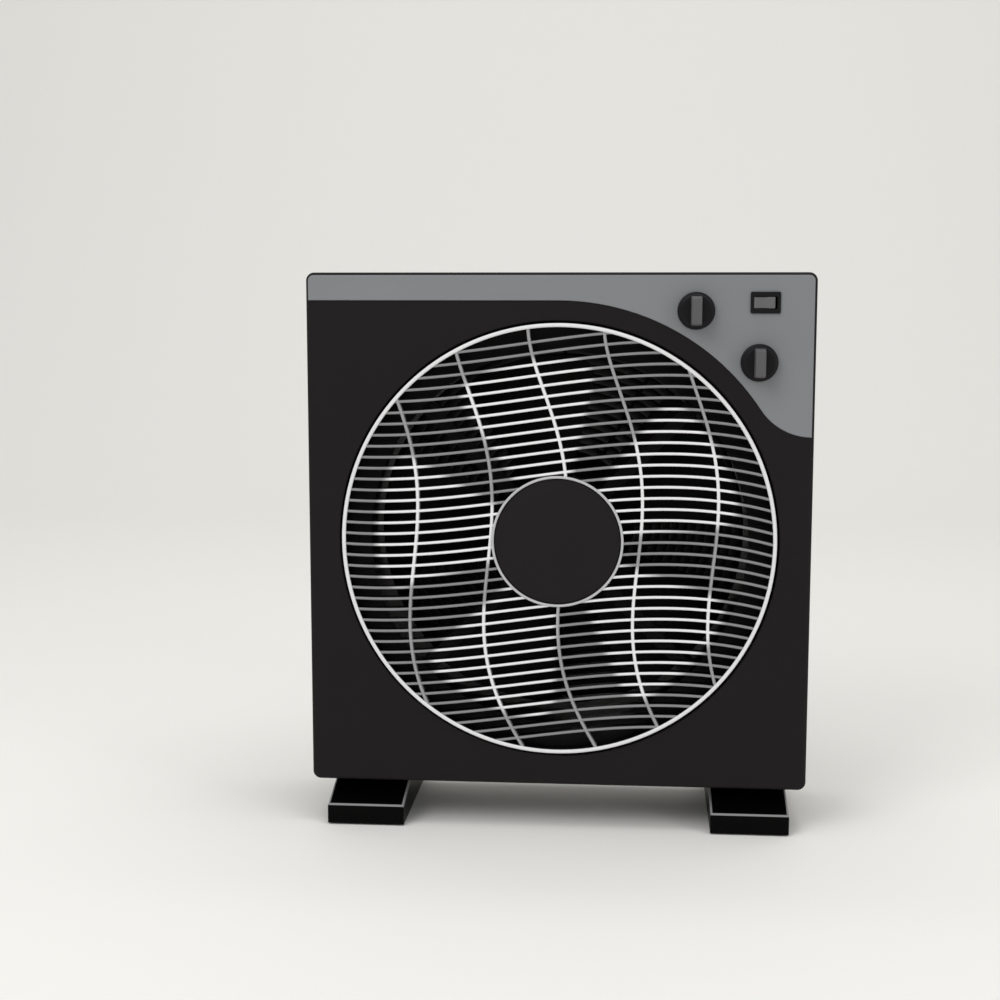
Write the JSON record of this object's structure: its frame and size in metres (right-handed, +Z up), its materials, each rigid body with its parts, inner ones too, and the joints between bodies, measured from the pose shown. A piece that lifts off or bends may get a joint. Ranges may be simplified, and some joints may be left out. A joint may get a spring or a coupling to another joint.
{
  "type": "box fan",
  "caption": "Box fan with a turning louver wheel, sloping control panel, two dial knobs, a rocker switch and two tilting feet.",
  "frame": {"origin": "middle of the ground rectangle under the feet", "axes": "+Z up, +X to the right seen from the front, the front faces -Y"},
  "size_m": [0.37, 0.154, 0.415],
  "materials": {
    "body_black": "fine moulded texture, satin black",
    "panel_grey": "satin painted grey",
    "guard_black": "satin black",
    "blade_black": "semi gloss black",
    "louver_silver": "silver painted, semi gloss",
    "cap_black": "satin black",
    "knob_black": "satin black",
    "grip_grey": "satin grey",
    "bezel_black": "semi gloss black",
    "button_grey": "satin grey",
    "foot_black": "satin black",
    "pad_rubber": "matte",
    "gland_rubber": "matte",
    "switch_plastic": "moulded phenolic",
    "terminal_white": "moulded nylon",
    "friction_nylon": "nylon",
    "screw_steel": "zinc plated",
    "motor_steel": "zinc plated sheet",
    "lamination_steel": "varnished laminations",
    "winding_copper": "enamelled copper",
    "bronze": "sintered bronze"
  },
  "bodies": {
    "stand": {"foot_left": "foot_black", "foot_right": "foot_black", "foot_pads_left": "pad_rubber", "foot_pads_right": "pad_rubber"},
    "housing": {"front_housing": "body_black", "rear_housing": "body_black", "control_panel": "panel_grey", "rear_guard": "guard_black", "housing_screws": "screw_steel", "rear_guard_screws": "screw_steel", "cord_gland": "gland_rubber", "louver_bracket": "guard_black", "louver_bracket_screws": "screw_steel", "louver_motor_body": "motor_steel", "louver_motor_lid": "motor_steel", "louver_motor_screws": "screw_steel", "motor_front_shield": "motor_steel", "motor_rear_shield": "motor_steel", "stator_core": "lamination_steel", "stator_windings": "winding_copper", "motor_front_bush": "bronze", "motor_rear_bush": "bronze", "motor_through_bolts": "screw_steel", "motor_mount_screws": "screw_steel", "timer_body": "switch_plastic", "speed_switch_body": "switch_plastic", "switch_nuts": "screw_steel", "rocker_switch_body": "bezel_black", "capacitor": "switch_plastic", "capacitor_clip": "motor_steel", "terminal_block": "terminal_white", "tilt_bolts": "screw_steel", "tilt_nuts": "screw_steel", "tilt_washers": "friction_nylon"},
    "louver": {"louver_wheel": "louver_silver", "hub_cap": "cap_black", "louver_shaft": "screw_steel", "louver_screw": "screw_steel"},
    "rotor": {"fan_blade": "blade_black", "blade_nut": "blade_black", "rotor_shaft": "screw_steel", "drive_pin": "screw_steel", "rotor_core": "lamination_steel"},
    "timer_knob": {"timer_knob": "knob_black", "timer_knob_grip": "grip_grey", "timer_shaft": "screw_steel"},
    "speed_knob": {"speed_knob": "knob_black", "speed_knob_grip": "grip_grey", "speed_shaft": "screw_steel"},
    "rocker": {"rocker_button": "button_grey"}
  },
  "joints": [
    {"name": "housing_tilt", "type": "hinge", "parent": "stand", "child": "housing", "pos_m": [0, 0, 0.046], "axis": [1, 0, 0], "range_deg": [-12, 12]},
    {"name": "louver_spin", "type": "hinge", "parent": "housing", "child": "louver", "pos_m": [0, -0.056, 0.2187], "axis": [0, 1, 0], "continuous": true},
    {"name": "rotor_spin", "type": "hinge", "parent": "housing", "child": "rotor", "pos_m": [0, 0, 0.2187], "axis": [0, 1, 0], "continuous": true},
    {"name": "timer_turn", "type": "hinge", "parent": "housing", "child": "timer_knob", "pos_m": [0.099, -0.064, 0.3876], "axis": [0, 1, 0], "range_deg": [0, 300]},
    {"name": "speed_turn", "type": "hinge", "parent": "housing", "child": "speed_knob", "pos_m": [0.1445, -0.064, 0.3506], "axis": [0, 1, 0], "range_deg": [0, 135]},
    {"name": "rocker_press", "type": "hinge", "parent": "housing", "child": "rocker", "pos_m": [0.1482, -0.057, 0.3934], "axis": [0, 0, 1], "range_deg": [0, 16]}
  ]
}
